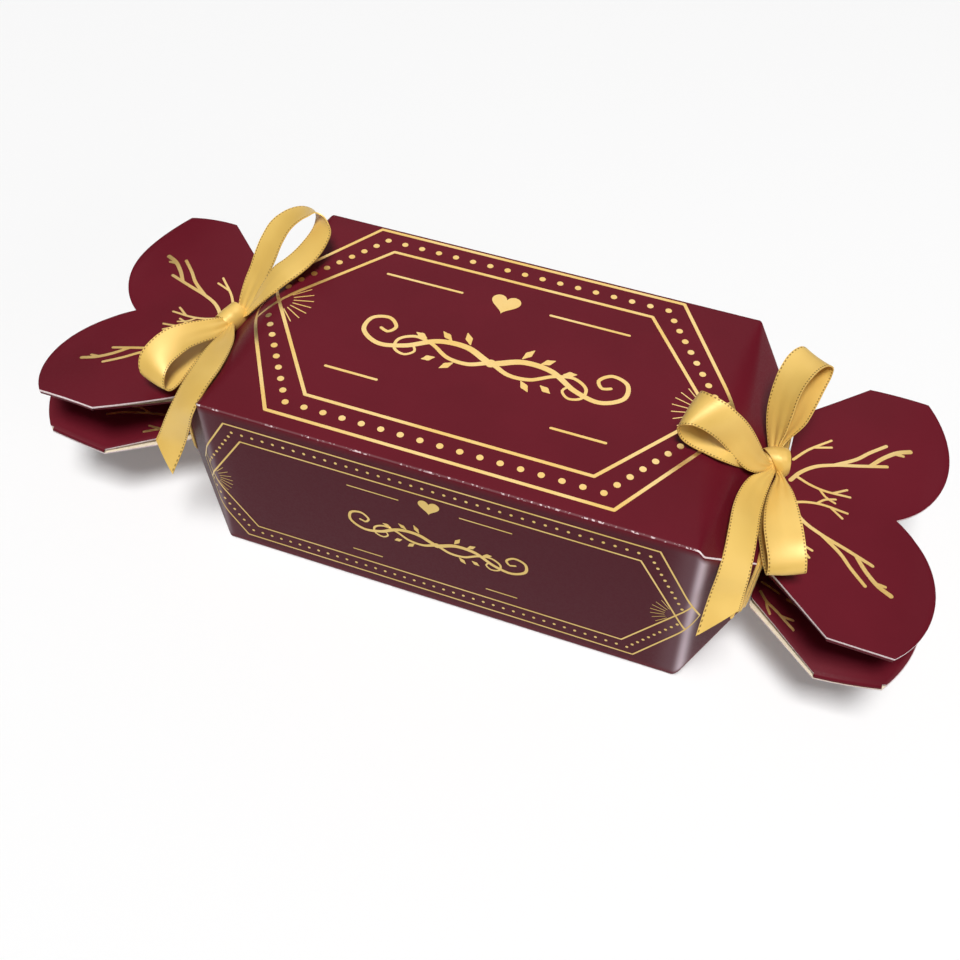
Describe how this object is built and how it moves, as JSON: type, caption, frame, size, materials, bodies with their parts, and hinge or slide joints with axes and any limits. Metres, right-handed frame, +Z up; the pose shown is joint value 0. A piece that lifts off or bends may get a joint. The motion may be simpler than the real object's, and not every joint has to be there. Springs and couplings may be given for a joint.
{
  "type": "candy-shaped gift box",
  "caption": "Folding card gift box shaped like a wrapped sweet, drawn in to a tied neck at each end, with two-lobed wings and satin ribbon bows.",
  "frame": {"origin": "middle of the flat rest face under the bottom panel", "axes": "+X along the box to the right bow, +Z up, front panel at -Y"},
  "size_m": [0.1846, 0.0709, 0.0547],
  "materials": {
    "card": "smooth laminated card, printed on the outside",
    "ribbon": "woven satin"
  },
  "bodies": {
    "box": {"top_panel": "card", "bottom_panel": "card", "front_panel": "card", "back_panel": "card", "glue_flap": "card", "left_neck_band": "ribbon", "left_knot": "ribbon", "left_far_loop": "ribbon", "left_near_loop": "ribbon", "left_tail": "ribbon", "right_neck_band": "ribbon", "right_knot": "ribbon", "right_far_loop": "ribbon", "right_body_loop": "ribbon", "right_near_loop": "ribbon", "right_tail": "ribbon"},
    "left_top_wing": {"left_top_wing": "card"},
    "left_front_upper_gusset": {"left_front_upper_gusset": "card"},
    "left_back_upper_gusset": {"left_back_upper_gusset": "card"},
    "left_bottom_wing": {"left_bottom_wing": "card"},
    "left_front_lower_gusset": {"left_front_lower_gusset": "card"},
    "left_back_lower_gusset": {"left_back_lower_gusset": "card"},
    "right_top_wing": {"right_top_wing": "card"},
    "right_front_upper_gusset": {"right_front_upper_gusset": "card"},
    "right_back_upper_gusset": {"right_back_upper_gusset": "card"},
    "right_bottom_wing": {"right_bottom_wing": "card"},
    "right_front_lower_gusset": {"right_front_lower_gusset": "card"},
    "right_back_lower_gusset": {"right_back_lower_gusset": "card"}
  },
  "joints": [
    {"name": "left_top_wing_crease", "type": "hinge", "parent": "box", "child": "left_top_wing", "pos_m": [-0.06055, 0, 0.02875], "axis": [0, 1, 0], "range_deg": [-4, 8], "stiffness_Nm_per_rad": 0.006},
    {"name": "left_front_upper_gusset_fold", "type": "hinge", "parent": "left_top_wing", "child": "left_front_upper_gusset", "pos_m": [-0.07956, -0.03075, 0.02845], "axis": [-0.9997, 0, 0.0262], "range_deg": [-3.6, 7.2]},
    {"name": "left_back_upper_gusset_fold", "type": "hinge", "parent": "left_top_wing", "child": "left_back_upper_gusset", "pos_m": [-0.07956, 0.03075, 0.02845], "axis": [0.9997, 0, -0.0262], "range_deg": [-3.6, 7.2]},
    {"name": "left_bottom_wing_crease", "type": "hinge", "parent": "box", "child": "left_bottom_wing", "pos_m": [-0.06055, 0, 0.01525], "axis": [0, -1, 0], "range_deg": [-4, 8], "stiffness_Nm_per_rad": 0.006},
    {"name": "left_front_lower_gusset_fold", "type": "hinge", "parent": "left_bottom_wing", "child": "left_front_lower_gusset", "pos_m": [-0.07905, -0.03075, 0.01966], "axis": [0.9816, 0, -0.1908], "range_deg": [-3.6, 7.2]},
    {"name": "left_back_lower_gusset_fold", "type": "hinge", "parent": "left_bottom_wing", "child": "left_back_lower_gusset", "pos_m": [-0.07905, 0.03075, 0.01966], "axis": [-0.9816, 0, 0.1908], "range_deg": [-3.6, 7.2]},
    {"name": "right_top_wing_crease", "type": "hinge", "parent": "box", "child": "right_top_wing", "pos_m": [0.06055, 0, 0.02875], "axis": [0, -1, 0], "range_deg": [-4, 8], "stiffness_Nm_per_rad": 0.006},
    {"name": "right_front_upper_gusset_fold", "type": "hinge", "parent": "right_top_wing", "child": "right_front_upper_gusset", "pos_m": [0.07956, -0.03075, 0.02845], "axis": [-0.9997, 0, -0.0262], "range_deg": [-3.6, 7.2]},
    {"name": "right_back_upper_gusset_fold", "type": "hinge", "parent": "right_top_wing", "child": "right_back_upper_gusset", "pos_m": [0.07956, 0.03075, 0.02845], "axis": [0.9997, 0, 0.0262], "range_deg": [-3.6, 7.2]},
    {"name": "right_bottom_wing_crease", "type": "hinge", "parent": "box", "child": "right_bottom_wing", "pos_m": [0.06055, 0, 0.01525], "axis": [0, 1, 0], "range_deg": [-4, 8], "stiffness_Nm_per_rad": 0.006},
    {"name": "right_front_lower_gusset_fold", "type": "hinge", "parent": "right_bottom_wing", "child": "right_front_lower_gusset", "pos_m": [0.07905, -0.03075, 0.01966], "axis": [0.9816, 0, 0.1908], "range_deg": [-3.6, 7.2]},
    {"name": "right_back_lower_gusset_fold", "type": "hinge", "parent": "right_bottom_wing", "child": "right_back_lower_gusset", "pos_m": [0.07905, 0.03075, 0.01966], "axis": [-0.9816, 0, -0.1908], "range_deg": [-3.6, 7.2]}
  ],
  "couplings": [
    {"joint": "left_front_upper_gusset_fold", "follows": "left_top_wing_crease", "ratio": 0.9},
    {"joint": "left_back_upper_gusset_fold", "follows": "left_top_wing_crease", "ratio": 0.9},
    {"joint": "left_front_lower_gusset_fold", "follows": "left_bottom_wing_crease", "ratio": 0.9},
    {"joint": "left_back_lower_gusset_fold", "follows": "left_bottom_wing_crease", "ratio": 0.9},
    {"joint": "right_front_upper_gusset_fold", "follows": "right_top_wing_crease", "ratio": 0.9},
    {"joint": "right_back_upper_gusset_fold", "follows": "right_top_wing_crease", "ratio": 0.9},
    {"joint": "right_front_lower_gusset_fold", "follows": "right_bottom_wing_crease", "ratio": 0.9},
    {"joint": "right_back_lower_gusset_fold", "follows": "right_bottom_wing_crease", "ratio": 0.9}
  ]
}
